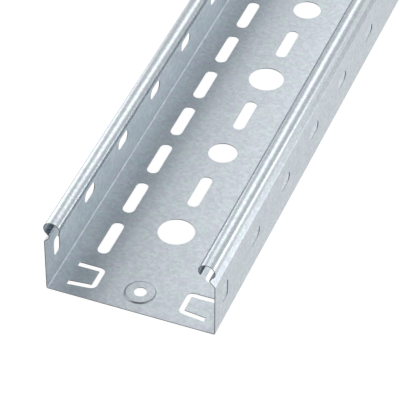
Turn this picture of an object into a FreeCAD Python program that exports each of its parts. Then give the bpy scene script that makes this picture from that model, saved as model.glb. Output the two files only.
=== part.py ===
import FreeCAD, Part
import math
import os
import Sketcher

# Perforated cable tray: one strip of galvanised sheet, punched and roll-formed to a channel with
# rolled upper edges. Millimetres and degrees. X runs across the tray, Y along it, Z up. The
# origin lies on the underside, at the middle of the width and length.

SIZES = {
    # Section, as seen from either end
    "tray_length": 2000.0,
    "tray_width": 100.0,
    "tray_height": 50.0,
    "sheet_thickness": 0.6,
    "corner_inside_radius": 0.5,
    "shoulder_inside_radius": 0.5,
    "neck_inside_radius": 1.6,
    "neck_depth": 3.0,
    "neck_slope": 46.0,
    "curl_radius": 5.0,
    "lip_angle": 220.0,
    # Three rows of holes in the floor, the middle one half a pitch on from the outer two
    "floor_pitch": 36.5,
    "first_slot_place": 50.0,
    "row_spacing": 32.5,
    "slot_length": 27.0,
    "slot_width": 7.2,
    "large_hole_diameter": 21.3,
    "small_hole_diameter": 17.2,
    # One row of slots in each wall
    "wall_row_height": 20.0,
    "wall_pitch": 146.0 / 3,
    "first_wall_slot_place": 61.1,
    "wall_slot_length": 14.2,
    "wall_slot_height": 7.6,
    # Upright joint hole near each end of both walls
    "joint_hole_place": 15.1,
    "joint_hole_width": 7.6,
    "joint_hole_height": 12.2,
    "joint_hole_corner": 2.4,
    # Hook-shaped cuts at the corners of both ends, each leaving a tongue held on the wall side
    "hook_side_margin": 9.2,
    "hook_reach": 16.4,
    "hook_near_margin": 6.8,
    "hook_far_margin": 25.6,
    "hook_near_width": 3.2,
    "hook_far_width": 3.2,
    "hook_bar_width": 3.1,
    "hook_slant": 6.0,
    "hook_corner_radius": 3.8,
    # Pressed boss with a fixing hole near each end
    "boss_place": 15.0,
    "boss_diameter": 18.0,
    "boss_rise": 0.8,
    "boss_wall_angle": 45.0,
    "boss_hole_diameter": 7.2,
}

X_AXIS = -1
Y_AXIS = -2
START = 1
END = 2
CENTRE = 3
UP = FreeCAD.Vector(0, 0, 1)

doc = FreeCAD.newDocument("cable_tray")
sheet = doc.addObject("Spreadsheet::Sheet", "sizes")
for row, (alias, value) in enumerate(SIZES.items(), start=1):
    sheet.set(f"A{row}", alias)
    sheet.set(f"B{row}", repr(value))
    sheet.setAlias(f"B{row}", alias)
doc.recompute()

tray = doc.addObject("PartDesign::Body", "cable_tray")
tray.Label = "cable_tray"


def origin_feature(role):
    """The body's own origin plane or axis with this role."""
    for feature in tray.Origin.OriginFeatures:
        if feature.Role == role:
            return feature
    raise ValueError(role)


def cell(alias):
    return f"sizes.{alias}"


def new_sketch(name, plane_role):
    sketch = tray.newObject("Sketcher::SketchObject", name)
    sketch.AttachmentSupport = (origin_feature(plane_role), [""])
    sketch.MapMode = "FlatFace"
    return sketch


def point(across, up):
    return FreeCAD.Vector(across, up, 0)


def add_line(sketch, begin, finish):
    return sketch.addGeometry(Part.LineSegment(begin, finish), False)


def add_arc(sketch, centre, radius, begin_angle, end_angle):
    """An arc running counter-clockwise between two angles in degrees."""
    circle = Part.Circle(centre, UP, radius)
    arc = Part.ArcOfCircle(circle, math.radians(begin_angle), math.radians(end_angle))
    return sketch.addGeometry(arc, False)


def on_circle(centre, radius, angle):
    turn = math.radians(angle)
    return centre + radius * FreeCAD.Vector(math.cos(turn), math.sin(turn), 0)


def relate(sketch, kind, *places):
    """A constraint that holds no size, such as Tangent or Horizontal."""
    return sketch.addConstraint(Sketcher.Constraint(kind, *places))


def measure(sketch, name, kind, places, value, formula):
    """A constraint that holds a size, bound to the sheet by its formula."""
    index = sketch.addConstraint(Sketcher.Constraint(kind, *places, value))
    sketch.renameConstraint(index, name)
    sketch.setExpression(f"Constraints.{name}", formula)
    return index


def offset_from_origin(sketch, name, kind, place, value, formula):
    """The distance of a point from the sketch's origin, on the side where the value has its sign."""
    if value < 0:
        measure(sketch, name, kind, (*place, X_AXIS, START), -value, f"-({formula})")
    else:
        measure(sketch, name, kind, (X_AXIS, START, *place), value, formula)


# Section of the right half, from the middle of the floor to the free lip of the rolled edge

BEND_RADII = {
    "outer": {
        "corner": "sizes.corner_inside_radius + sizes.sheet_thickness",
        "shoulder": "sizes.shoulder_inside_radius + sizes.sheet_thickness",
        "neck": "sizes.neck_inside_radius",
        "curl": "sizes.curl_radius",
    },
    "inner": {
        "corner": "sizes.corner_inside_radius",
        "shoulder": "sizes.shoulder_inside_radius",
        "neck": "sizes.neck_inside_radius + sizes.sheet_thickness",
        "curl": "sizes.curl_radius - sizes.sheet_thickness",
    },
}


def section_chain(sketch, face):
    """Lines and arcs along the outer or inner face of the sheet."""
    thickness = SIZES["sheet_thickness"]
    inset = thickness if face == "inner" else 0.0
    half_width = SIZES["tray_width"] / 2
    slope = SIZES["neck_slope"]
    rise = math.sin(math.radians(slope))
    run = math.cos(math.radians(slope))
    corner_radius = SIZES["corner_inside_radius"] + thickness
    shoulder_radius = SIZES["shoulder_inside_radius"] + thickness
    neck_radius = SIZES["neck_inside_radius"]
    curl_radius = SIZES["curl_radius"]
    curl_centre = point(half_width - curl_radius, SIZES["tray_height"] - curl_radius)
    neck_across = half_width - SIZES["neck_depth"] + neck_radius
    neck_up = curl_centre.y - (curl_radius + neck_radius + rise * (curl_centre.x - neck_across)) / run
    shoulder_across = half_width - shoulder_radius
    bends = neck_radius + shoulder_radius
    shoulder_up = neck_up + (rise * (neck_across - shoulder_across) - bends) / run
    corner_centre = point(half_width - corner_radius, corner_radius)
    shoulder_centre = point(shoulder_across, shoulder_up)
    neck_centre = point(neck_across, neck_up)
    neck_begin = on_circle(neck_centre, neck_radius + inset, 270 - slope)
    neck_finish = on_circle(neck_centre, neck_radius + inset, 90 + slope)

    floor_line = add_line(sketch, point(0, inset), point(corner_centre.x, inset))
    corner = add_arc(sketch, corner_centre, corner_radius - inset, -90, 0)
    wall_across = half_width - inset
    wall_line = add_line(sketch, point(wall_across, corner_radius), point(wall_across, shoulder_up))
    shoulder = add_arc(sketch, shoulder_centre, shoulder_radius - inset, 0, 90 - slope)
    shoulder_finish = on_circle(shoulder_centre, shoulder_radius - inset, 90 - slope)
    inward_line = add_line(sketch, shoulder_finish, neck_begin)
    neck = add_arc(sketch, neck_centre, neck_radius + inset, 90 + slope, 270 - slope)
    curl_begin = on_circle(curl_centre, curl_radius - inset, slope - 90)
    outward_line = add_line(sketch, neck_finish, curl_begin)
    curl = add_arc(sketch, curl_centre, curl_radius - inset, slope - 90, SIZES["lip_angle"])

    joints = [
        (floor_line, END, corner, START),
        (corner, END, wall_line, START),
        (wall_line, END, shoulder, START),
        (shoulder, END, inward_line, START),
        (inward_line, END, neck, END),
        (neck, START, outward_line, START),
        (outward_line, END, curl, START),
    ]
    for joint in joints:
        relate(sketch, "Tangent", *joint)
    relate(sketch, "Horizontal", floor_line)

    bends_and_radii = [
        ("corner", corner, corner_radius - inset),
        ("shoulder", shoulder, shoulder_radius - inset),
        ("neck", neck, neck_radius + inset),
        ("curl", curl, curl_radius - inset),
    ]
    for bend, arc, radius in bends_and_radii:
        measure(sketch, f"{face}_{bend}_radius", "Radius", (arc,), radius, BEND_RADII[face][bend])
    return {
        "floor_line": floor_line,
        "corner": corner,
        "wall_line": wall_line,
        "shoulder": shoulder,
        "inward_line": inward_line,
        "neck": neck,
        "outward_line": outward_line,
        "curl": curl,
    }


def section_sketch():
    half_width = SIZES["tray_width"] / 2
    sketch = new_sketch("half_section", "XZ_Plane")
    outer = section_chain(sketch, "outer")
    inner = section_chain(sketch, "inner")
    lip_begin = sketch.getPoint(outer["curl"], END)
    lip_finish = sketch.getPoint(inner["curl"], END)
    lip_line = add_line(sketch, lip_begin, lip_finish)
    middle_line = add_line(sketch, point(0, 0), point(0, SIZES["sheet_thickness"]))

    for bend in ("corner", "shoulder", "neck", "curl"):
        relate(sketch, "Coincident", outer[bend], CENTRE, inner[bend], CENTRE)
    relate(sketch, "Coincident", outer["floor_line"], START, X_AXIS, START)
    relate(sketch, "PointOnObject", inner["floor_line"], START, Y_AXIS)
    relate(sketch, "Coincident", middle_line, START, outer["floor_line"], START)
    relate(sketch, "Coincident", middle_line, END, inner["floor_line"], START)
    relate(sketch, "Coincident", lip_line, START, outer["curl"], END)
    relate(sketch, "Coincident", lip_line, END, inner["curl"], END)
    relate(sketch, "PointOnObject", outer["curl"], CENTRE, lip_line)
    relate(sketch, "Vertical", outer["wall_line"])

    slope = math.radians(SIZES["neck_slope"])
    measure(sketch, "inward_slope", "Angle", (outer["inward_line"],), math.pi - slope,
            "180 deg - sizes.neck_slope * 1 deg")
    measure(sketch, "outward_slope", "Angle", (outer["outward_line"],), slope,
            "sizes.neck_slope * 1 deg")
    lip_turn = math.radians(SIZES["lip_angle"] - 180)
    measure(sketch, "lip_turn", "Angle", (lip_line,), lip_turn,
            "sizes.lip_angle * 1 deg - 180 deg")
    offset_from_origin(sketch, "wall_across", "DistanceX", (outer["wall_line"], START),
                       half_width, "sizes.tray_width / 2")
    offset_from_origin(sketch, "neck_across", "DistanceX", (outer["neck"], CENTRE),
                       half_width - SIZES["neck_depth"] + SIZES["neck_inside_radius"],
                       "sizes.tray_width / 2 - sizes.neck_depth + sizes.neck_inside_radius")
    offset_from_origin(sketch, "curl_across", "DistanceX", (outer["curl"], CENTRE),
                       half_width - SIZES["curl_radius"], "sizes.tray_width / 2 - sizes.curl_radius")
    offset_from_origin(sketch, "curl_up", "DistanceY", (outer["curl"], CENTRE),
                       SIZES["tray_height"] - SIZES["curl_radius"],
                       "sizes.tray_height - sizes.curl_radius")
    return sketch


# Outlines of the holes. Each takes the place of its middle as a number and as a formula

def add_slot(sketch, name, along, middle, middle_formulas, length, width):
    """A round-ended slot along the sketch's first or second axis; length and width are aliases."""
    radius = SIZES[width] / 2
    reach = SIZES[length] / 2 - radius
    turn = 0 if along == "DistanceY" else -90
    step = on_circle(point(0, 0), reach, turn + 90)
    side = on_circle(point(0, 0), radius, turn)
    far_cap = add_arc(sketch, middle + step, radius, turn, turn + 180)
    near_cap = add_arc(sketch, middle - step, radius, turn + 180, turn + 360)
    first_edge = add_line(sketch, middle - step + side, middle + step + side)
    second_edge = add_line(sketch, middle + step - side, middle - step - side)
    relate(sketch, "Tangent", near_cap, END, first_edge, START)
    relate(sketch, "Tangent", first_edge, END, far_cap, START)
    relate(sketch, "Tangent", far_cap, END, second_edge, START)
    relate(sketch, "Tangent", second_edge, END, near_cap, START)
    relate(sketch, "Vertical" if along == "DistanceY" else "Horizontal", first_edge)
    relate(sketch, "Equal", far_cap, near_cap)
    measure(sketch, f"{name}_radius", "Radius", (far_cap,), radius, f"{cell(width)} / 2")
    measure(sketch, f"{name}_reach", along, (near_cap, CENTRE, far_cap, CENTRE), 2 * reach,
            f"{cell(length)} - {cell(width)}")
    low_centre = middle - step
    low_across = middle_formulas[0]
    low_up = middle_formulas[1]
    if along == "DistanceY":
        low_up = f"{low_up} - ({cell(length)} - {cell(width)}) / 2"
    else:
        low_across = f"{low_across} - ({cell(length)} - {cell(width)}) / 2"
    offset_from_origin(sketch, f"{name}_across", "DistanceX", (near_cap, CENTRE), low_centre.x, low_across)
    offset_from_origin(sketch, f"{name}_up", "DistanceY", (near_cap, CENTRE), low_centre.y, low_up)


def add_circle(sketch, name, middle_up, up_formula, diameter, diameter_formula):
    """A circle on the sketch's second axis."""
    circle = sketch.addGeometry(Part.Circle(point(0, middle_up), UP, diameter / 2), False)
    relate(sketch, "PointOnObject", circle, CENTRE, Y_AXIS)
    measure(sketch, f"{name}_diameter", "Diameter", (circle,), diameter, diameter_formula)
    offset_from_origin(sketch, f"{name}_up", "DistanceY", (circle, CENTRE), middle_up, up_formula)


def add_rounded_rectangle(sketch, name, middle, middle_formulas, width, height, corner):
    """A rectangle with four equal round corners; width, height and corner are aliases."""
    radius = SIZES[corner]
    reach = point(SIZES[width] / 2 - radius, SIZES[height] / 2 - radius)
    corners = []
    for quarter, (right, above) in enumerate([(1, 1), (-1, 1), (-1, -1), (1, -1)]):
        centre = middle + point(right * reach.x, above * reach.y)
        corners.append(add_arc(sketch, centre, radius, 90 * quarter, 90 * quarter + 90))
    for quarter in range(4):
        here = corners[quarter]
        onward = corners[(quarter + 1) % 4]
        edge = add_line(sketch, sketch.getPoint(here, END), sketch.getPoint(onward, START))
        relate(sketch, "Tangent", here, END, edge, START)
        relate(sketch, "Tangent", edge, END, onward, START)
        relate(sketch, "Horizontal" if quarter % 2 == 0 else "Vertical", edge)
        if quarter:
            relate(sketch, "Equal", corners[0], here)
    measure(sketch, f"{name}_corner", "Radius", (corners[0],), radius, cell(corner))
    measure(sketch, f"{name}_width", "DistanceX", (corners[2], CENTRE, corners[0], CENTRE),
            2 * reach.x, f"{cell(width)} - 2 * {cell(corner)}")
    measure(sketch, f"{name}_height", "DistanceY", (corners[2], CENTRE, corners[0], CENTRE),
            2 * reach.y, f"{cell(height)} - 2 * {cell(corner)}")
    low_centre = middle - reach
    offset_from_origin(sketch, f"{name}_across", "DistanceX", (corners[2], CENTRE), low_centre.x,
                       f"{middle_formulas[0]} - ({cell(width)} / 2 - {cell(corner)})")
    offset_from_origin(sketch, f"{name}_up", "DistanceY", (corners[2], CENTRE), low_centre.y,
                       f"{middle_formulas[1]} - ({cell(height)} / 2 - {cell(corner)})")


def add_hook(sketch, name, side):
    """A hook-shaped cut round a tongue; side is 1 on the right of the tray and -1 on the left."""
    tip = SIZES["tray_width"] / 2 - SIZES["hook_side_margin"]
    bar = tip - SIZES["hook_reach"]
    tongue = bar + SIZES["hook_bar_width"]
    radius = SIZES["hook_corner_radius"]
    slant = SIZES["hook_slant"]
    climb = math.tan(math.radians(slant))
    end = -SIZES["tray_length"] / 2
    far = end + SIZES["hook_far_margin"]
    far_inner = far - SIZES["hook_far_width"]
    near = end + SIZES["hook_near_margin"]
    near_inner = near + SIZES["hook_near_width"]
    tongue_near = near_inner + (tip - tongue) * climb
    near_corner_up = near + (tip - bar - radius) * climb + radius / math.cos(math.radians(slant))

    def place(across, up):
        return point(side * across, up)

    far_corner_centre = place(bar + radius, far - radius)
    near_corner_centre = place(bar + radius, near_corner_up)
    if side > 0:
        far_corner = add_arc(sketch, far_corner_centre, radius, 90, 180)
        near_corner = add_arc(sketch, near_corner_centre, radius, 180, 270 - slant)
        at_far_edge, at_bar_far = START, END
        at_bar_near, at_near_edge = START, END
        near_edge_angle = 180 - slant
        near_angle_formula = "180 deg - sizes.hook_slant * 1 deg"
    else:
        far_corner = add_arc(sketch, far_corner_centre, radius, 0, 90)
        near_corner = add_arc(sketch, near_corner_centre, radius, 270 + slant, 360)
        at_far_edge, at_bar_far = END, START
        at_bar_near, at_near_edge = END, START
        near_edge_angle = slant
        near_angle_formula = "sizes.hook_slant * 1 deg"

    far_edge = add_line(sketch, place(tip, far), sketch.getPoint(far_corner, at_far_edge))
    bar_edge = add_line(sketch, sketch.getPoint(far_corner, at_bar_far),
                        sketch.getPoint(near_corner, at_bar_near))
    near_edge = add_line(sketch, place(tip, near), sketch.getPoint(near_corner, at_near_edge))
    near_tip = add_line(sketch, place(tip, near), place(tip, near_inner))
    tongue_side = add_line(sketch, place(tip, near_inner), place(tongue, tongue_near))
    tongue_end = add_line(sketch, place(tongue, tongue_near), place(tongue, far_inner))
    far_inner_edge = add_line(sketch, place(tongue, far_inner), place(tip, far_inner))
    far_tip = add_line(sketch, place(tip, far_inner), place(tip, far))

    relate(sketch, "Tangent", far_edge, END, far_corner, at_far_edge)
    relate(sketch, "Tangent", far_corner, at_bar_far, bar_edge, START)
    relate(sketch, "Tangent", bar_edge, END, near_corner, at_bar_near)
    relate(sketch, "Tangent", near_corner, at_near_edge, near_edge, END)
    relate(sketch, "Coincident", near_edge, START, near_tip, START)
    relate(sketch, "Coincident", near_tip, END, tongue_side, START)
    relate(sketch, "Coincident", tongue_side, END, tongue_end, START)
    relate(sketch, "Coincident", tongue_end, END, far_inner_edge, START)
    relate(sketch, "Coincident", far_inner_edge, END, far_tip, START)
    relate(sketch, "Coincident", far_tip, END, far_edge, START)
    for level_edge in (far_edge, far_inner_edge):
        relate(sketch, "Horizontal", level_edge)
    for upright_edge in (bar_edge, near_tip, tongue_end, far_tip):
        relate(sketch, "Vertical", upright_edge)
    relate(sketch, "Parallel", near_edge, tongue_side)
    relate(sketch, "Equal", far_corner, near_corner)

    measure(sketch, f"{name}_corner", "Radius", (far_corner,), radius, "sizes.hook_corner_radius")
    measure(sketch, f"{name}_slant", "Angle", (near_edge,), math.radians(near_edge_angle),
            near_angle_formula)
    sign = "" if side > 0 else "-"
    tip_formula = "sizes.tray_width / 2 - sizes.hook_side_margin"
    bar_formula = f"{tip_formula} - sizes.hook_reach"
    widths = [
        ("near_tip", near_tip, tip, tip_formula),
        ("far_tip", far_tip, tip, tip_formula),
        ("bar", bar_edge, bar, bar_formula),
        ("tongue", tongue_end, tongue, f"{bar_formula} + sizes.hook_bar_width"),
    ]
    for edge_name, edge, across, formula in widths:
        offset_from_origin(sketch, f"{name}_{edge_name}_across", "DistanceX", (edge, START),
                           side * across, f"{sign}({formula})")
    heights = [
        ("near", near_tip, START, near, "sizes.hook_near_margin"),
        ("near_inner", near_tip, END, near_inner, "sizes.hook_near_margin + sizes.hook_near_width"),
        ("far_inner", far_tip, START, far_inner, "sizes.hook_far_margin - sizes.hook_far_width"),
        ("far", far_tip, END, far, "sizes.hook_far_margin"),
    ]
    for edge_name, edge, edge_end, up, formula in heights:
        offset_from_origin(sketch, f"{name}_{edge_name}_up", "DistanceY", (edge, edge_end), up,
                           f"-sizes.tray_length / 2 + {formula}")


# Features of the tray

def bind(feature, prop, formula):
    feature.setExpression(prop, formula)


def new_feature(kind, name):
    """A feature whose faces need no merging afterwards."""
    feature = tray.newObject(f"PartDesign::{kind}", name)
    feature.Refine = False
    return feature


def symmetric_feature(kind, name, sketch, length_formula):
    """A pad or pocket that reaches equally far to both sides of its sketch."""
    feature = new_feature(kind, name)
    feature.Profile = sketch
    feature.SideType = "Symmetric"
    bind(feature, "Length", length_formula)
    return feature


def floor_pocket(name, sketch):
    """Cuts through the floor, also where the boss raises it."""
    return symmetric_feature("Pocket", name, sketch, "4 * (sizes.sheet_thickness + sizes.boss_rise)")


def wall_pocket(name, sketch):
    """Cuts through both walls."""
    return symmetric_feature("Pocket", name, sketch, "2 * sizes.tray_width")


def copying_feature(kind, name, originals):
    """A mirror or pattern of earlier features, standing on the feature made last."""
    base = tray.Tip
    feature = new_feature(kind, name)
    feature.BaseFeature = base
    feature.Originals = originals
    tray.Tip = feature
    return feature


def mirror(name, originals, plane_role):
    mirrored = copying_feature("Mirrored", name, originals)
    mirrored.MirrorPlane = (origin_feature(plane_role), [""])
    return mirrored


def row_along_tray(name, original, first_formula, last_margin_formula, pitch_formula):
    """Copies along the tray at a pitch, up to a margin from the far end."""
    row = copying_feature("LinearPattern", name, [original])
    row.Direction = (origin_feature("Y_Axis"), [""])
    row.Mode = "Extent"
    room = f"sizes.tray_length - ({first_formula}) - ({last_margin_formula})"
    copies = f"floor(({room}) / ({pitch_formula})) + 1"
    bind(row, "Occurrences", copies)
    bind(row, "Length", f"({copies} - 1) * ({pitch_formula})")


def from_near_end(value):
    return value - SIZES["tray_length"] / 2


def from_near_end_formula(formula):
    return f"-sizes.tray_length / 2 + {formula}"


def bent_strip():
    """The channel with its rolled edges, before any hole."""
    half = symmetric_feature("Pad", "half_strip", section_sketch(), "sizes.tray_length")
    channel = mirror("channel", [half], "YZ_Plane")
    channel.Refine = True


def joint_holes():
    sketch = new_sketch("joint_holes_sketch", "YZ_Plane")
    middle = point(from_near_end(SIZES["joint_hole_place"]), SIZES["wall_row_height"])
    formulas = (from_near_end_formula("sizes.joint_hole_place"), "sizes.wall_row_height")
    add_rounded_rectangle(sketch, "hole", middle, formulas, "joint_hole_width",
                          "joint_hole_height", "joint_hole_corner")
    return wall_pocket("joint_holes", sketch)


def hook_cuts():
    sketch = new_sketch("hook_cuts_sketch", "XY_Plane")
    add_hook(sketch, "right", 1)
    add_hook(sketch, "left", -1)
    return floor_pocket("hook_cuts", sketch)


def tapered_feature(kind, name, sketch):
    """A round pad or pocket of the boss, narrowing upwards."""
    feature = new_feature(kind, name)
    feature.Profile = sketch
    bind(feature, "Length", "sizes.boss_rise")
    bind(feature, "TaperAngle", "sizes.boss_wall_angle * 1 deg - 90 deg")
    return feature


def pressed_boss():
    """The raised top, the hollow under it and the hole through it."""
    up = from_near_end(SIZES["boss_place"])
    up_formula = from_near_end_formula("sizes.boss_place")

    raised_sketch = new_sketch("boss_raised_sketch", "XY_Plane")
    bind(raised_sketch, "AttachmentOffset.Base.z", "sizes.sheet_thickness")
    add_circle(raised_sketch, "boss", up, up_formula, SIZES["boss_diameter"], "sizes.boss_diameter")
    raised = tapered_feature("Pad", "boss_raised", raised_sketch)

    # The hollow's wall lies one sheet thickness behind the raised wall, measured square to it
    step_back = math.tan(math.radians(SIZES["boss_wall_angle"] / 2))
    hollow_diameter = SIZES["boss_diameter"] - 2 * SIZES["sheet_thickness"] * step_back
    step_back_formula = "tan(sizes.boss_wall_angle / 2 * 1 deg)"
    hollow_formula = f"sizes.boss_diameter - 2 * sizes.sheet_thickness * {step_back_formula}"
    hollow_sketch = new_sketch("boss_hollow_sketch", "XY_Plane")
    add_circle(hollow_sketch, "hollow", up, up_formula, hollow_diameter, hollow_formula)
    hollow = tapered_feature("Pocket", "boss_hollow", hollow_sketch)
    hollow.Reversed = True

    hole_sketch = new_sketch("boss_hole_sketch", "XY_Plane")
    add_circle(hole_sketch, "hole", up, up_formula, SIZES["boss_hole_diameter"],
               "sizes.boss_hole_diameter")
    hole = floor_pocket("boss_hole", hole_sketch)
    return [raised, hollow, hole]


def first_outer_slots():
    sketch = new_sketch("outer_slots_sketch", "XY_Plane")
    up = from_near_end(SIZES["first_slot_place"])
    for name, side in (("right", 1), ("left", -1)):
        formulas = (f"{side} * sizes.row_spacing", from_near_end_formula("sizes.first_slot_place"))
        middle = point(side * SIZES["row_spacing"], up)
        add_slot(sketch, name, "DistanceY", middle, formulas, "slot_length", "slot_width")
    return floor_pocket("outer_slots", sketch)


def first_middle_hole(name, steps_on, diameter=None):
    """The first slot, or circle with a diameter, of its kind in the middle row of the floor."""
    sketch = new_sketch(f"{name}_sketch", "XY_Plane")
    up = from_near_end(SIZES["first_slot_place"] + steps_on * SIZES["floor_pitch"])
    up_formula = from_near_end_formula(middle_place_formula(steps_on))
    if diameter:
        add_circle(sketch, name, up, up_formula, SIZES[diameter], cell(diameter))
    else:
        add_slot(sketch, name, "DistanceY", point(0, up), ("0 mm", up_formula), "slot_length", "slot_width")
    return floor_pocket(name, sketch)


def middle_place_formula(steps_on):
    return f"sizes.first_slot_place + {steps_on} * sizes.floor_pitch"


def first_wall_slots():
    sketch = new_sketch("wall_slots_sketch", "YZ_Plane")
    middle = point(from_near_end(SIZES["first_wall_slot_place"]), SIZES["wall_row_height"])
    formulas = (from_near_end_formula("sizes.first_wall_slot_place"), "sizes.wall_row_height")
    add_slot(sketch, "slot", "DistanceX", middle, formulas, "wall_slot_length", "wall_slot_height")
    return wall_pocket("wall_slots", sketch)


bent_strip()
mirror("far_end", [joint_holes(), hook_cuts(), *pressed_boss()], "XZ_Plane")

# The middle row repeats large circle, slot, small circle, slot
outer_slots = first_outer_slots()
large_holes = first_middle_hole("large_holes", 0.5, "large_hole_diameter")
middle_slots = first_middle_hole("middle_slots", 1.5)
small_holes = first_middle_hole("small_holes", 2.5, "small_hole_diameter")
wall_slots = first_wall_slots()
row_along_tray("outer_slot_rows", outer_slots, "sizes.first_slot_place", "sizes.first_slot_place",
               "sizes.floor_pitch")
row_along_tray("large_holes_row", large_holes, middle_place_formula(0.5), "sizes.first_slot_place",
               "4 * sizes.floor_pitch")
row_along_tray("middle_slots_row", middle_slots, middle_place_formula(1.5), "sizes.first_slot_place",
               "2 * sizes.floor_pitch")
row_along_tray("small_holes_row", small_holes, middle_place_formula(2.5), "sizes.first_slot_place",
               "4 * sizes.floor_pitch")
row_along_tray("wall_slot_rows", wall_slots, "sizes.first_wall_slot_place",
               "sizes.first_wall_slot_place", "sizes.wall_pitch")
doc.recompute()

# Every feature has to be sound, and to add or take away material as it should

for feature in doc.Objects:
    if "Invalid" in feature.State or "Error" in feature.State:
        raise RuntimeError(f"{feature.Name} failed: {feature.State}")
volume = 0.0
for feature in tray.Group:
    if not feature.isDerivedFrom("PartDesign::Feature"):
        continue
    change = feature.Shape.Volume - volume
    volume = feature.Shape.Volume
    adds = feature.Name in ("half_strip", "channel", "boss_raised")
    print(f"{feature.Name:18s} {change / 1000:10.3f} cm3")
    if (change > 0) != adds:
        raise RuntimeError(f"{feature.Name} changes the volume by {change}")
if tray.Shape.isNull() or not tray.Shape.isValid() or len(tray.Shape.Solids) != 1:
    raise RuntimeError("the tray is not one valid solid")

os.makedirs("parts", exist_ok=True)
tray.Shape.exportStep(f"parts/{tray.Label}.step")
box = tray.Shape.BoundBox
print("volume", round(volume / 1000, 3), "cm3, faces", len(tray.Shape.Faces))
print("box", [round(side, 3) for side in (box.XMin, box.YMin, box.ZMin, box.XMax, box.YMax, box.ZMax)])
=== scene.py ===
import bpy
import math
from mathutils import Matrix, Vector
from mathutils.geometry import delaunay_2d_cdt


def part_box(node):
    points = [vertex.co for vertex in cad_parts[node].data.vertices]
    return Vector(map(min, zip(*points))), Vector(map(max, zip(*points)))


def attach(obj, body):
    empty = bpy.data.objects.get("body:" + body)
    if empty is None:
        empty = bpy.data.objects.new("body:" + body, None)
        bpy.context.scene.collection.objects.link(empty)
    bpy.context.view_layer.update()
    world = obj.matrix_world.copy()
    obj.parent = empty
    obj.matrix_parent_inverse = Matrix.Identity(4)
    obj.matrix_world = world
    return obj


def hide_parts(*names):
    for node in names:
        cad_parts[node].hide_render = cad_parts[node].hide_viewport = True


# Perforated cable tray, rebuilt as one finely divided skin over the solid's own section and holes.
# The sizes are in millimetres and degrees and repeat the part's source. X runs across the tray,
# Y along it, Z up from the underside.

MM = 0.001

THICKNESS = 0.6
CORNER_INSIDE_RADIUS = 0.5
SHOULDER_INSIDE_RADIUS = 0.5
NECK_INSIDE_RADIUS = 1.6
NECK_DEPTH = 3.0
NECK_SLOPE = 46.0
CURL_RADIUS = 5.0
LIP_ANGLE = 220.0

FLOOR_PITCH = 36.5
FIRST_SLOT_PLACE = 50.0
ROW_SPACING = 32.5
SLOT_LENGTH = 27.0
SLOT_WIDTH = 7.2
LARGE_HOLE_DIAMETER = 21.3
SMALL_HOLE_DIAMETER = 17.2

WALL_ROW_HEIGHT = 20.0
WALL_PITCH = 146.0 / 3
FIRST_WALL_SLOT_PLACE = 61.1
WALL_SLOT_LENGTH = 14.2
WALL_SLOT_HEIGHT = 7.6

JOINT_HOLE_PLACE = 15.1
JOINT_HOLE_WIDTH = 7.6
JOINT_HOLE_HEIGHT = 12.2
JOINT_HOLE_CORNER = 2.4

HOOK_SIDE_MARGIN = 9.2
HOOK_REACH = 16.4
HOOK_NEAR_MARGIN = 6.8
HOOK_FAR_MARGIN = 25.6
HOOK_NEAR_WIDTH = 3.2
HOOK_FAR_WIDTH = 3.2
HOOK_BAR_WIDTH = 3.1
HOOK_SLANT = 6.0
HOOK_CORNER_RADIUS = 3.8
HOOK_SHARP_RADIUS = 0.25

BOSS_PLACE = 15.0
BOSS_DIAMETER = 18.0
BOSS_RISE = 0.8
BOSS_WALL_ANGLE = 45.0
BOSS_HOLE_DIAMETER = 7.2
BOSS_BEND = 0.3

# Fineness of the skin: bevels and spacings in millimetres, steps round bends in degrees
EDGE_BEVEL = 0.07
CURL_STEP = 7.5
BEND_STEP = 9.0
HOLE_STEP = 11.25
LEAST_CORNER_STEPS = 3
LARGE_HOLE_POINTS = 56
SMALL_HOLE_POINTS = 48
STATION_SPACING = 50.0
BOSS_RING_POINTS = 64
BOSS_RING_SPACING = 0.3
BOSS_RING_MARGIN = 0.35

# Points closer than this are one; the step into an opening that finds the way out of its edge
SAME_POINT = 0.01
PROBE_STEP = 0.01
FILL_TOLERANCE = 1e-6

# How far the shine inside a corner bend leans towards the middle of the tray, in degrees
CREASE_TILT = 21.0

# Camera, found from the evenly spaced holes in the photograph: its place in metres, its turns in
# degrees, its lens and sensor in millimetres
CAMERA_PLACE = (0.40486, -1.92678, 0.99300)
CAMERA_DOWN = 42.032
CAMERA_LEFT = 21.43
CAMERA_ROLL = 0.066
CAMERA_LENS = 232.94
CAMERA_SENSOR = 36.0
CAMERA_REACH = 100.0

# Galvanised steel: its colour, the factors of its darkest and lightest spots and its faint tints
STEEL_COLOUR = (0.652, 0.705, 0.748)
DARK_FACTORS = (0.91, 0.895, 0.92)
LIGHT_FACTORS = (1.09, 1.105, 1.08)
GREEN_TINT = (0.975, 1.01, 0.985)
VIOLET_TINT = (1.01, 0.985, 1.015)

# Patterns of the steel: how fine each is, and its share in the shade
SPANGLE_SCALE = 560.0
SPANGLE_SHARE = 0.45
GRAIN_SCALE = 900.0
GRAIN_SHARE = 0.55
CLOUD_SCALE = 28.0
CLOUD_SHARE = 0.1
SPECKLE_SHARE = 0.9
TINT_SCALE = 170.0
BUMP_STRENGTH = 0.4
BUMP_DEPTH = 0.0001

# Roughness by shade, and the part of it that is left above the shoulder, by height in metres
ROUGHNESS_STOPS = [(0.2, 0.38), (0.8, 0.32)]
ROLLED_STOPS = [(0.033, 1.0), (0.037, 0.75)]

# The cut edges: a dark colour of painted shade on those that face along the tray, the grain at its
# border, and their roughness
CUT_PAINTED_SHADE_COLOUR = (0.18, 0.19, 0.20)
CUT_GRAIN_SCALE = 1500.0
CUT_GRAIN_SHARE = 0.2
CUT_ROUGHNESS = 0.45

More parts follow.
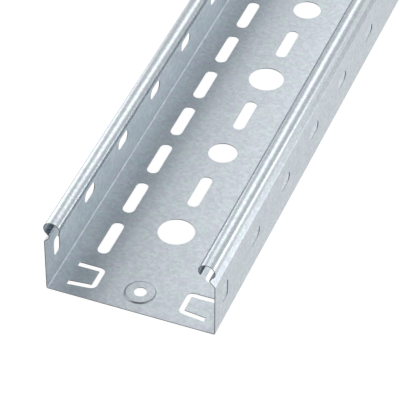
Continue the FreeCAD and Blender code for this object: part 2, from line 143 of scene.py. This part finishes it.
# Floor and room, with levels from 0 for black to 1 for white
FLOOR_REACH = 15.0
FLOOR_GREY = 0.2
FLOOR_SEEN = 0.92
FLOOR_MIRRORED = 0.72
ROOM_LEVEL = 0.65
FRONT_LEVEL = 0.08
HORIZON_STOPS = [(0.04, 1.0), (0.16, 0.0)]

# Lights, in metres. The top ones hang side by side: name, left edge, right edge and level
TOP_HEIGHT = 0.34
TOP_NEAR = -0.75
TOP_FAR = -0.08
TOP_LIGHTS = [
    ("top_light", -0.066, 0.10, 0.95),
    ("top_light_left_rim", -0.100, -0.066, 0.45),
    ("top_light_left_wash", -0.24, -0.100, 0.10),
    ("top_light_right_rim", 0.10, 0.18, 0.45),
]
SIDE_PLACE = 0.40
SIDE_NEAR = -1.6
LEFT_LIGHT_FAR = -0.51
LEFT_LIGHT_TOP = 0.42
LEFT_LIGHT_LEVEL = 0.85
RIGHT_LIGHT_FAR = -0.50
RIGHT_LIGHT_TOP = 0.15
RIGHT_LIGHT_LEVEL = 1.4


def heading(angle):
    return Vector((math.cos(math.radians(angle)), math.sin(math.radians(angle))))


def left_of(direction):
    return Vector((-direction.y, direction.x))


# Outlines of the holes, as points with the direction from each into the opening

def rounded_outline(corners):
    """A closed outline through corners with their radii, with the opening on its left."""
    outline = []
    for index, (corner, radius) in enumerate(corners):
        before = corners[index - 1][0]
        after = corners[(index + 1) % len(corners)][0]
        arriving = (corner - before).normalized()
        leaving = (after - corner).normalized()
        turn = math.atan2(arriving.x * leaving.y - arriving.y * leaving.x, arriving.dot(leaving))
        side = 1 if turn > 0 else -1
        begin = corner - arriving * radius * math.tan(abs(turn) / 2)
        centre = begin + left_of(arriving) * radius * side
        steps = max(LEAST_CORNER_STEPS, math.ceil(math.degrees(abs(turn)) / HOLE_STEP))
        for step in range(steps + 1):
            course = math.atan2(arriving.y, arriving.x) + turn * step / steps
            into = Vector((-math.sin(course), math.cos(course)))
            point = centre - into * radius * side
            if not outline or (point - outline[-1][0]).length > SAME_POINT:
                outline.append((point, into))
    if (outline[0][0] - outline[-1][0]).length < SAME_POINT:
        outline.pop()
    return outline


def rectangle_outline(middle, width, height, radius):
    corners = []
    for right, above in [(-1, -1), (1, -1), (1, 1), (-1, 1)]:
        corners.append((middle + Vector((right * width / 2, above * height / 2)), radius))
    return rounded_outline(corners)


def circle_outline(middle, radius, count):
    outline = []
    for step in range(count):
        outward = heading(360 * step / count)
        outline.append((middle + outward * radius, -outward))
    return outline


def hook_outline(side, end):
    """The cut round a tongue; side is 1 on the right, and end is -1 at the near end."""
    tip = half_width - HOOK_SIDE_MARGIN
    bar = tip - HOOK_REACH
    tongue = bar + HOOK_BAR_WIDTH
    climb = math.tan(math.radians(HOOK_SLANT))
    near_inner = HOOK_NEAR_MARGIN + HOOK_NEAR_WIDTH
    far_inner = HOOK_FAR_MARGIN - HOOK_FAR_WIDTH
    shape = [
        (tip, HOOK_FAR_MARGIN, HOOK_SHARP_RADIUS),
        (bar, HOOK_FAR_MARGIN, HOOK_CORNER_RADIUS),
        (bar, HOOK_NEAR_MARGIN + (tip - bar) * climb, HOOK_CORNER_RADIUS),
        (tip, HOOK_NEAR_MARGIN, HOOK_SHARP_RADIUS),
        (tip, near_inner, HOOK_SHARP_RADIUS),
        (tongue, near_inner + (tip - tongue) * climb, HOOK_SHARP_RADIUS),
        (tongue, far_inner, HOOK_SHARP_RADIUS),
        (tip, far_inner, HOOK_SHARP_RADIUS),
    ]
    corners = []
    for across, margin, radius in shape:
        along = end * (half_length - margin)
        corners.append((Vector((side * across, along)), radius))
    if side * end > 0:
        corners.reverse()
    return rounded_outline(corners)


def places(first, pitch):
    """Places along the tray from the near end, as far as the same margin from the far end."""
    count = int((2 * half_length - 2 * first) / pitch) + 1
    return [first + pitch * step - half_length for step in range(count)]


def floor_outlines():
    outlines = []
    slot_radius = SLOT_WIDTH / 2
    for side in (-1, 1):
        for along in places(FIRST_SLOT_PLACE, FLOOR_PITCH):
            middle = Vector((side * ROW_SPACING, along))
            outlines.append(rectangle_outline(middle, SLOT_WIDTH, SLOT_LENGTH, slot_radius))
    last = half_length - FIRST_SLOT_PLACE
    along = FIRST_SLOT_PLACE + FLOOR_PITCH / 2 - half_length
    step = 0
    while along <= last:
        middle = Vector((0, along))
        if step % 2:
            outlines.append(rectangle_outline(middle, SLOT_WIDTH, SLOT_LENGTH, slot_radius))
        elif step % 4 == 0:
            outlines.append(circle_outline(middle, LARGE_HOLE_DIAMETER / 2, LARGE_HOLE_POINTS))
        else:
            outlines.append(circle_outline(middle, SMALL_HOLE_DIAMETER / 2, SMALL_HOLE_POINTS))
        step += 1
        along += FLOOR_PITCH
    for end in (-1, 1):
        outlines.append(hook_outline(1, end))
        outlines.append(hook_outline(-1, end))
        boss = Vector((0, end * (half_length - BOSS_PLACE)))
        outlines.append(circle_outline(boss, BOSS_HOLE_DIAMETER / 2, BOSS_RING_POINTS))
    return outlines


def wall_outlines():
    """Outlines in a wall, with height as the first coordinate and length as the second."""
    outlines = []
    slot_radius = WALL_SLOT_HEIGHT / 2
    for along in places(FIRST_WALL_SLOT_PLACE, WALL_PITCH):
        middle = Vector((WALL_ROW_HEIGHT, along))
        outlines.append(rectangle_outline(middle, WALL_SLOT_HEIGHT, WALL_SLOT_LENGTH, slot_radius))
    for end in (-1, 1):
        middle = Vector((WALL_ROW_HEIGHT, end * (half_length - JOINT_HOLE_PLACE)))
        outlines.append(rectangle_outline(
            middle, JOINT_HOLE_HEIGHT, JOINT_HOLE_WIDTH, JOINT_HOLE_CORNER))
    return outlines


# Section of the tray: points on its outer face, with the direction out of the sheet

def bend(centre, radius, begin, finish, step, hollow=False):
    """Points round a bend; a hollow one has the tray's outside at its centre."""
    steps = math.ceil(abs(finish - begin) / step)
    nodes = []
    for index in range(steps + 1):
        outward = heading(begin + (finish - begin) * index / steps)
        nodes.append((centre + outward * radius, -outward if hollow else outward))
    return nodes


def half_section():
    """The right half, from the foot of the wall to the free lip of the rolled edge."""
    rise = math.sin(math.radians(NECK_SLOPE))
    run = math.cos(math.radians(NECK_SLOPE))
    corner_radius = CORNER_INSIDE_RADIUS + THICKNESS
    shoulder_radius = SHOULDER_INSIDE_RADIUS + THICKNESS
    neck_radius = NECK_INSIDE_RADIUS
    curl = Vector((half_width - CURL_RADIUS, height - CURL_RADIUS))
    neck_across = half_width - NECK_DEPTH + neck_radius
    neck_up = curl.y - (CURL_RADIUS + neck_radius + rise * (curl.x - neck_across)) / run
    shoulder_across = half_width - shoulder_radius
    bends = neck_radius + shoulder_radius
    shoulder_up = neck_up + (rise * (neck_across - shoulder_across) - bends) / run
    corner = Vector((shoulder_across, corner_radius))
    shoulder = Vector((shoulder_across, shoulder_up))
    neck = Vector((neck_across, neck_up))
    nodes = bend(corner, corner_radius, -90, 0, BEND_STEP)
    wall_foot = len(nodes) - 1
    nodes += bend(shoulder, shoulder_radius, 0, 90 - NECK_SLOPE, BEND_STEP)
    nodes += bend(neck, neck_radius, 270 - NECK_SLOPE, 90 + NECK_SLOPE, BEND_STEP, hollow=True)
    nodes += bend(curl, CURL_RADIUS, NECK_SLOPE - 90, LIP_ANGLE, CURL_STEP)
    return nodes, wall_foot


class Skin:
    """Points of the sheet with both their faces, the faces between them and the cut edges."""

    def __init__(self):
        self.outer = []
        self.inner = []
        self.outer_normals = []
        self.inner_normals = []
        self.faces = []
        self.edges = []

    def add(self, outer, inner, outer_normal, inner_normal=None):
        self.outer.append(outer)
        self.inner.append(inner)
        self.outer_normals.append(outer_normal)
        self.inner_normals.append(inner_normal or -outer_normal)
        return len(self.outer) - 1

    def add_face(self, corners):
        """Adds a face, turned so that it looks outwards."""
        first = self.outer[corners[0]]
        crossed = (self.outer[corners[1]] - first).cross(self.outer[corners[2]] - first)
        if crossed.dot(self.outer_normals[corners[0]]) < 0:
            corners = corners[::-1]
        self.faces.append(tuple(corners))

    def add_edge(self, ring):
        """Adds a closed ring of points, each with the direction out of the sheet's edge."""
        self.edges.append(ring)


def boss_lift(distance, radius):
    """Lift and slope of the pressed boss at a distance from its middle; radius is its foot's."""
    top = radius - BOSS_RISE
    if distance >= radius + BOSS_BEND:
        return 0.0, 0.0
    if distance <= top - BOSS_BEND:
        return BOSS_RISE, 0.0
    share = (radius + BOSS_BEND - distance) / (BOSS_RISE + 2 * BOSS_BEND)
    lift = BOSS_RISE * share * share * (3 - 2 * share)
    slope = -BOSS_RISE * 6 * share * (1 - share) / (BOSS_RISE + 2 * BOSS_BEND)
    return lift, slope


def floor_point(across, along):
    """Both faces of the floor and their directions, with the boss pressed up near each end."""
    outer = Vector((across, along, 0))
    inner = Vector((across, along, THICKNESS))
    outer_normal = Vector((0, 0, -1))
    inner_normal = Vector((0, 0, 1))
    boss_along = math.copysign(half_length - BOSS_PLACE, along)
    away = Vector((across, along - boss_along))
    foot = BOSS_DIAMETER / 2
    if away.length < foot + 2 * BOSS_BEND:
        outward = away.normalized()
        hollow_foot = foot - THICKNESS * math.tan(math.radians(BOSS_WALL_ANGLE / 2))
        lift, slope = boss_lift(away.length, hollow_foot)
        outer.z += lift
        outer_normal = Vector((slope * outward.x, slope * outward.y, -1)).normalized()
        lift, slope = boss_lift(away.length, foot)
        inner.z += lift
        inner_normal = Vector((-slope * outward.x, -slope * outward.y, 1)).normalized()
    return outer, inner, outer_normal, inner_normal


def right_wall_point(up, along):
    return (Vector((half_width, along, up)), Vector((half_width - THICKNESS, along, up)),
            Vector((1, 0, 0)), Vector((-1, 0, 0)))


def left_wall_point(up, along):
    return (Vector((-half_width, along, up)), Vector((THICKNESS - half_width, along, up)),
            Vector((-1, 0, 0)), Vector((1, 0, 0)))


def inside(point, polygon):
    """Whether a point lies inside a closed polygon."""
    found = False
    previous = polygon[-1]
    for corner in polygon:
        if (corner.y > point.y) != (previous.y > point.y):
            share = (point.y - corner.y) / (previous.y - corner.y)
            crossing = corner.x + share * (previous.x - corner.x)
            if point.x < crossing:
                found = not found
        previous = corner
    return found


def fill_flat(skin, border, outlines, lift_point, extra_points=()):
    """Fills a flat zone between its border points, leaving out the holes."""
    flat_points = [place for _, place in border]
    ids = [index for index, _ in border]
    constraints = [(i, (i + 1) % len(border)) for i in range(len(border))]
    owner = [-1] * len(border)
    polygons = []
    for number, outline in enumerate(outlines):
        start = len(flat_points)
        ring = []
        for point, into in outline:
            place = point - into * EDGE_BEVEL
            index = skin.add(*lift_point(place.x, place.y))
            flat_points.append(place)
            ids.append(index)
            owner.append(number)
            here = skin.outer[index]
            ahead_across = place.x + into.x * PROBE_STEP
            ahead_along = place.y + into.y * PROBE_STEP
            out = lift_point(ahead_across, ahead_along)[0] - here
            out -= out.dot(skin.outer_normals[index]) * skin.outer_normals[index]
            ring.append((index, out.normalized()))
        constraints += [(start + i, start + (i + 1) % len(outline)) for i in range(len(outline))]
        polygons.append(flat_points[start:])
        skin.add_edge(ring)
    for place in extra_points:
        flat_points.append(place)
        ids.append(skin.add(*lift_point(place.x, place.y)))
        owner.append(-1)
    filled = delaunay_2d_cdt(flat_points, constraints, [], 0, FILL_TOLERANCE)
    triangles = filled[2]
    sources = filled[3]
    for face in triangles:
        corners = [sources[index][0] for index in face]
        numbers = {owner[index] for index in corners}
        if len(numbers) == 1 and -1 not in numbers:
            middle = sum((flat_points[index] for index in corners), Vector((0, 0))) / 3
            if inside(middle, polygons[numbers.pop()]):
                continue
        skin.add_face([ids[index] for index in corners])


def boss_rings():
    """Points round both bosses, where the sheet bends."""
    points = []
    foot = BOSS_DIAMETER / 2
    for end in (-1, 1):
        middle = Vector((0, end * (half_length - BOSS_PLACE)))
        radius = foot - BOSS_RISE - 2 * BOSS_BEND - BOSS_RING_SPACING
        while radius < foot + BOSS_BEND + BOSS_RING_MARGIN:
            points += [middle + heading(360 * (i + 0.5) / BOSS_RING_POINTS) * radius
                       for i in range(BOSS_RING_POINTS)]
            radius += BOSS_RING_SPACING
    return points


def crease_normal(across):
    """The one direction that the tight inside of a corner bend shines in."""
    tilt = math.radians(CREASE_TILT)
    return Vector((-math.copysign(math.sin(tilt), across), 0, math.cos(tilt)))


def sheet_skin():
    """The whole tray as a bent sheet with its holes."""
    skin = Skin()
    right, wall_foot = half_section()
    left = [(Vector((-place.x, place.y)), Vector((-out.x, out.y))) for place, out in reversed(right)]
    nodes = left + right
    flats = {
        len(left) - 1: "floor",
        len(left) + wall_foot: "right wall",
        len(left) - 2 - wall_foot: "left wall",
    }
    bays = round(2 * half_length / STATION_SPACING)
    limit = half_length - EDGE_BEVEL
    stations = [-limit + 2 * limit * step / bays for step in range(bays + 1)]
    grid = []
    for index, (place, out) in enumerate(nodes):
        normal = Vector((out.x, 0, out.y))
        from_foot = index - len(left) if index >= len(left) else len(left) - 1 - index
        inner_normal = None
        if 0 < from_foot < wall_foot:
            inner_normal = crease_normal(place.x)
        line = []
        for along in stations:
            outer = Vector((place.x, along, place.y))
            line.append(skin.add(outer, outer - normal * THICKNESS, normal, inner_normal))
        grid.append(line)
    for index in range(len(nodes) - 1):
        if index in flats:
            continue
        here = grid[index]
        onward = grid[index + 1]
        for step in range(bays):
            skin.add_face([here[step], here[step + 1], onward[step + 1], onward[step]])
    zones = {
        "floor": (floor_point, floor_outlines(), boss_rings(), lambda place: place.x),
        "right wall": (right_wall_point, wall_outlines(), (), lambda place: place.z),
        "left wall": (left_wall_point, wall_outlines(), (), lambda place: place.z),
    }
    for index, name in flats.items():
        lift_point, outlines, extra_points, across = zones[name]
        border = grid[index] + grid[index + 1][::-1]
        flat_border = [(i, Vector((across(skin.outer[i]), skin.outer[i].y))) for i in border]
        fill_flat(skin, flat_border, outlines, lift_point, extra_points)
    skin.add_edge(end_ring(skin, nodes, grid))
    return skin


def end_ring(skin, nodes, grid):
    """The cut ends of the tray and its two free lips, as one ring."""
    ring = []
    last = len(nodes) - 1
    for line in grid:
        ring.append((line[0], Vector((0, -1, 0))))
    right_lip = Vector((-nodes[last][1].y, 0, nodes[last][1].x))
    for index in grid[last][1:-1]:
        ring.append((index, right_lip))
    for line in reversed(grid):
        ring.append((line[-1], Vector((0, 1, 0))))
    left_lip = Vector((nodes[0][1].y, 0, -nodes[0][1].x))
    for index in reversed(grid[0][1:-1]):
        ring.append((index, left_lip))
    return ring


def sheet_mesh(skin, name):
    """Both faces of the skin, joined by walls with a small bevel along every cut edge."""
    count = len(skin.outer)
    points = skin.outer + skin.inner
    normals = skin.outer_normals + skin.inner_normals
    faces = list(skin.faces)
    faces += [tuple(index + count for index in reversed(face)) for face in skin.faces]
    sheet_faces = len(faces)
    for ring in skin.edges:
        walls = []
        for index, out in ring:
            outer_in = -skin.outer_normals[index]
            inner_in = -skin.inner_normals[index]
            top = len(points)
            points.append(skin.outer[index] + (out + outer_in) * EDGE_BEVEL)
            points.append(skin.inner[index] + (out + inner_in) * EDGE_BEVEL)
            normals += [out, out]
            walls.append((index, top, top + 1, index + count))
        for position, here in enumerate(walls):
            onward = walls[(position + 1) % len(walls)]
            for row in range(3):
                face = [here[row], onward[row], onward[row + 1], here[row + 1]]
                first = points[face[0]]
                crossed = (points[face[2]] - first).cross(points[face[1]] - points[face[3]])
                facing = normals[here[1]] + normals[onward[1]]
                faces.append(tuple(face[::-1] if crossed.dot(facing) > 0 else face))
    mesh = bpy.data.meshes.new(name)
    mesh.from_pydata([point * MM for point in points], [], faces)
    mesh.polygons.foreach_set("use_smooth", [True] * len(faces))
    mesh.polygons.foreach_set("material_index", [int(i >= sheet_faces) for i in range(len(faces))])
    mesh.update()
    mesh.normals_split_custom_set_from_vertices([tuple(normal) for normal in normals])
    return mesh


# Materials

class Nodes:
    """A material's or world's nodes, made and joined by name of socket."""

    def __init__(self, owner):
        owner.use_nodes = True
        self.tree = owner.node_tree
        self.tree.nodes.clear()

    def add(self, kind, inputs=None, **settings):
        node = self.tree.nodes.new(kind)
        for name, value in settings.items():
            setattr(node, name, value)
        for name, value in (inputs or {}).items():
            if isinstance(value, bpy.types.NodeSocket):
                self.tree.links.new(value, node.inputs[name])
            else:
                node.inputs[name].default_value = value
        return node

    def math(self, operation, *values):
        node = self.add("ShaderNodeMath", operation=operation)
        for index, value in enumerate(values):
            if isinstance(value, bpy.types.NodeSocket):
                self.tree.links.new(value, node.inputs[index])
            else:
                node.inputs[index].default_value = value
        return node.outputs[0]

    def ramp(self, factor, stops):
        """A colour ramp from places and grey levels or colours."""
        node = self.add("ShaderNodeValToRGB", {"Fac": factor})
        elements = node.color_ramp.elements
        while len(elements) < len(stops):
            elements.new(0.5)
        for element, (place, level) in zip(elements, stops):
            element.position = place
            colour = level if isinstance(level, tuple) else (level, level, level)
            element.color = (*colour, 1)
        return node.outputs["Color"]


def shaded(colour, factors):
    return tuple(part * factor for part, factor in zip(colour, factors))


def steel_material():
    """Galvanised sheet: fine spangle and grain, faint clouds and tints, shinier rolled edges."""
    material = bpy.data.materials.new("galvanised_steel_finish")
    nodes = Nodes(material)
    place = nodes.add("ShaderNodeTexCoord").outputs["Object"]
    spangle = nodes.add("ShaderNodeTexVoronoi", {
        "Vector": place, "Scale": SPANGLE_SCALE, "Randomness": 1.0})
    grain = nodes.add("ShaderNodeTexNoise", {
        "Vector": place, "Scale": GRAIN_SCALE, "Detail": 3.0, "Roughness": 0.7})
    cloud = nodes.add("ShaderNodeTexNoise", {
        "Vector": place, "Scale": CLOUD_SCALE, "Detail": 3.0, "Roughness": 0.5})
    crystal = nodes.add("ShaderNodeSeparateColor", {"Color": spangle.outputs["Color"]}).outputs[0]
    grain_part = nodes.math("MULTIPLY", grain.outputs[0], GRAIN_SHARE)
    speckle = nodes.math("MULTIPLY_ADD", crystal, SPANGLE_SHARE, grain_part)
    speckle_part = nodes.math("MULTIPLY", speckle, SPECKLE_SHARE)
    shade = nodes.math("MULTIPLY_ADD", cloud.outputs[0], CLOUD_SHARE, speckle_part)
    dark = shaded(STEEL_COLOUR, DARK_FACTORS)
    light = shaded(STEEL_COLOUR, LIGHT_FACTORS)
    bare = nodes.ramp(shade, [(0.25, dark), (0.75, light)])
    patches = nodes.add("ShaderNodeTexNoise", {
        "Vector": place, "Scale": TINT_SCALE, "Detail": 3.0, "Roughness": 0.6})
    tint = nodes.ramp(patches.outputs[0], [(0.42, GREEN_TINT), (0.58, VIOLET_TINT)])
    colour = nodes.add("ShaderNodeMixRGB", {
        "Fac": 1.0, "Color1": bare, "Color2": tint}, blend_type="MULTIPLY").outputs[0]
    up = nodes.add("ShaderNodeSeparateXYZ", {"Vector": place}).outputs["Z"]
    uneven = nodes.ramp(shade, ROUGHNESS_STOPS)
    part_left = nodes.ramp(up, ROLLED_STOPS)
    rough = nodes.math("MULTIPLY", uneven, part_left)
    bump = nodes.add("ShaderNodeBump", {
        "Height": grain.outputs[0], "Strength": BUMP_STRENGTH, "Distance": BUMP_DEPTH})
    shader = nodes.add("ShaderNodeBsdfPrincipled", {
        "Base Color": colour, "Roughness": rough, "Metallic": 1.0, "Normal": bump.outputs[0]})
    nodes.add("ShaderNodeOutputMaterial", {"Surface": shader.outputs[0]})
    return material


def cut_edge_material():
    """Punched and sheared edges, with painted shade: dark where the cut runs across the tray and faces
    along it.
    """
    material = bpy.data.materials.new("cut_edge_steel_and_painted_shade")
    nodes = Nodes(material)
    place = nodes.add("ShaderNodeTexCoord")
    facing = nodes.add("ShaderNodeSeparateXYZ", {"Vector": place.outputs["Normal"]})
    # painted shade: the more a cut face looks along the tray, the darker it is painted, from the
    # steel's colour to the dark one
    along = nodes.math("ABSOLUTE", facing.outputs["Y"])
    grain = nodes.add("ShaderNodeTexNoise", {
        "Vector": place.outputs["Object"], "Scale": CUT_GRAIN_SCALE, "Detail": 2.0})
    share = nodes.math("MULTIPLY_ADD", grain.outputs[0], CUT_GRAIN_SHARE, along)
    colour = nodes.ramp(share, [(0.8, STEEL_COLOUR), (1.0, CUT_PAINTED_SHADE_COLOUR)])
    shader = nodes.add("ShaderNodeBsdfPrincipled", {
        "Base Color": colour, "Roughness": CUT_ROUGHNESS, "Metallic": 1.0})
    nodes.add("ShaderNodeOutputMaterial", {"Surface": shader.outputs[0]})
    return material


def floor_material():
    """White floor: mostly its own even white to the camera and in reflections, and a shadow on it."""
    material = bpy.data.materials.new("white_floor")
    nodes = Nodes(material)
    path = nodes.add("ShaderNodeLightPath")
    mirrored = nodes.math("MAXIMUM", path.outputs["Is Glossy Ray"], path.outputs["Is Transmission Ray"])
    mirrored_glow = nodes.math("MULTIPLY", mirrored, FLOOR_MIRRORED)
    seen = nodes.math("MULTIPLY_ADD", path.outputs["Is Camera Ray"], FLOOR_SEEN, mirrored_glow)
    lit = nodes.add("ShaderNodeBsdfDiffuse", {"Color": (FLOOR_GREY, FLOOR_GREY, FLOOR_GREY, 1)})
    glow = nodes.add("ShaderNodeEmission", {"Color": (1, 1, 1, 1), "Strength": seen})
    both = nodes.add("ShaderNodeAddShader")
    nodes.tree.links.new(lit.outputs[0], both.inputs[0])
    nodes.tree.links.new(glow.outputs[0], both.inputs[1])
    nodes.add("ShaderNodeOutputMaterial", {"Surface": both.outputs[0]})
    return material


def studio_world():
    """A white horizon all round, and a duller room above it, dim towards the near end."""
    world = bpy.data.worlds.new("studio")
    bpy.context.scene.world = world
    nodes = Nodes(world)
    direction = nodes.add("ShaderNodeTexCoord").outputs["Generated"]
    parts = nodes.add("ShaderNodeSeparateXYZ", {"Vector": direction})
    behind = nodes.math("MULTIPLY_ADD", parts.outputs["Y"], 0.5, 0.5)
    room = nodes.ramp(behind, [(0.3, FRONT_LEVEL), (0.5, ROOM_LEVEL)])
    horizon = nodes.ramp(parts.outputs["Z"], HORIZON_STOPS)
    whiter = nodes.math("MULTIPLY", horizon, nodes.math("SUBTRACT", 1.0, room))
    glow = nodes.add("ShaderNodeBackground", {
        "Color": nodes.math("ADD", room, whiter), "Strength": 1.0})
    nodes.add("ShaderNodeOutputWorld", {"Surface": glow.outputs[0]})


def add_softbox(name, lowest, highest, facing, level):
    """A plain rectangular light between two corners, as bright as level all over."""
    middle = (Vector(lowest) + Vector(highest)) / 2
    reach = Vector(highest) - Vector(lowest)
    data = bpy.data.lights.new(name, "AREA")
    data.shape = "RECTANGLE"
    data.size = max(reach.x, reach.z)
    data.size_y = reach.y
    data.energy = level * math.pi * data.size * data.size_y
    light = bpy.data.objects.new(name, data)
    across = Vector((0, 1, 0)).cross(-Vector(facing))
    axes = Matrix((across, Vector((0, 1, 0)), -Vector(facing))).transposed()
    light.matrix_world = Matrix.Translation(middle) @ axes.to_4x4()
    light.visible_camera = False
    bpy.context.collection.objects.link(light)


def add_lights():
    """A light over the near half with dimmer ones beside it, and a low one on each side."""
    for name, left, right, level in TOP_LIGHTS:
        lowest = (left, TOP_NEAR, TOP_HEIGHT)
        highest = (right, TOP_FAR, TOP_HEIGHT)
        add_softbox(name, lowest, highest, (0, 0, -1), level)
    lowest = (-SIDE_PLACE, SIDE_NEAR, 0.0)
    highest = (-SIDE_PLACE, LEFT_LIGHT_FAR, LEFT_LIGHT_TOP)
    add_softbox("left_light", lowest, highest, (1, 0, 0), LEFT_LIGHT_LEVEL)
    lowest = (SIDE_PLACE, SIDE_NEAR, 0.0)
    highest = (SIDE_PLACE, RIGHT_LIGHT_FAR, RIGHT_LIGHT_TOP)
    add_softbox("right_light", lowest, highest, (-1, 0, 0), RIGHT_LIGHT_LEVEL)


def add_floor():
    mesh = bpy.data.meshes.new("studio_floor")
    corners = [
        (-FLOOR_REACH, -FLOOR_REACH, 0),
        (FLOOR_REACH, -FLOOR_REACH, 0),
        (FLOOR_REACH, FLOOR_REACH, 0),
        (-FLOOR_REACH, FLOOR_REACH, 0),
    ]
    mesh.from_pydata(corners, [], [(0, 1, 2, 3)])
    mesh.materials.append(floor_material())
    floor = bpy.data.objects.new("studio_floor", mesh)
    bpy.context.collection.objects.link(floor)


def add_camera():
    down = math.radians(CAMERA_DOWN)
    turned = math.radians(CAMERA_LEFT)
    roll = math.radians(CAMERA_ROLL)
    onward = math.cos(down)
    forward = Vector((-math.sin(turned) * onward, math.cos(turned) * onward, -math.sin(down)))
    level_right = Vector((math.cos(turned), math.sin(turned), 0))
    level_up = level_right.cross(forward)
    right = level_right * math.cos(roll) + level_up * math.sin(roll)
    up = level_up * math.cos(roll) - level_right * math.sin(roll)
    axes = Matrix((right, up, -forward)).transposed()
    data = bpy.data.cameras.new("camera")
    data.lens = CAMERA_LENS
    data.sensor_width = CAMERA_SENSOR
    data.clip_end = CAMERA_REACH
    camera = bpy.data.objects.new("camera", data)
    camera.matrix_world = Matrix.Translation(CAMERA_PLACE) @ axes.to_4x4()
    bpy.context.collection.objects.link(camera)
    bpy.context.scene.camera = camera


def add_tray():
    mesh = sheet_mesh(sheet_skin(), "tray_sheet")
    mesh.materials.append(steel_material())
    mesh.materials.append(cut_edge_material())
    tray = bpy.data.objects.new("tray_sheet", mesh)
    bpy.context.collection.objects.link(tray)
    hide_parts("cable_tray")
    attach(tray, "root")


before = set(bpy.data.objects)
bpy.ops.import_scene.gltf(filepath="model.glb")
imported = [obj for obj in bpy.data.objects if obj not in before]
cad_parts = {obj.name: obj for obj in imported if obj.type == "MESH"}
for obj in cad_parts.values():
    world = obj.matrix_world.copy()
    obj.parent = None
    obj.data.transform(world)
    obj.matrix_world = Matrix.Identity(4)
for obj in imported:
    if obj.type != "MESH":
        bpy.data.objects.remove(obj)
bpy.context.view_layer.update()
lowest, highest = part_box("cable_tray")
half_width = (highest[0] - lowest[0]) / 2 / MM
half_length = (highest[1] - lowest[1]) / 2 / MM
height = (highest[2] - lowest[2]) / MM

add_camera()
studio_world()
add_lights()
add_floor()
add_tray()
bpy.context.scene.view_settings.view_transform = "Standard"
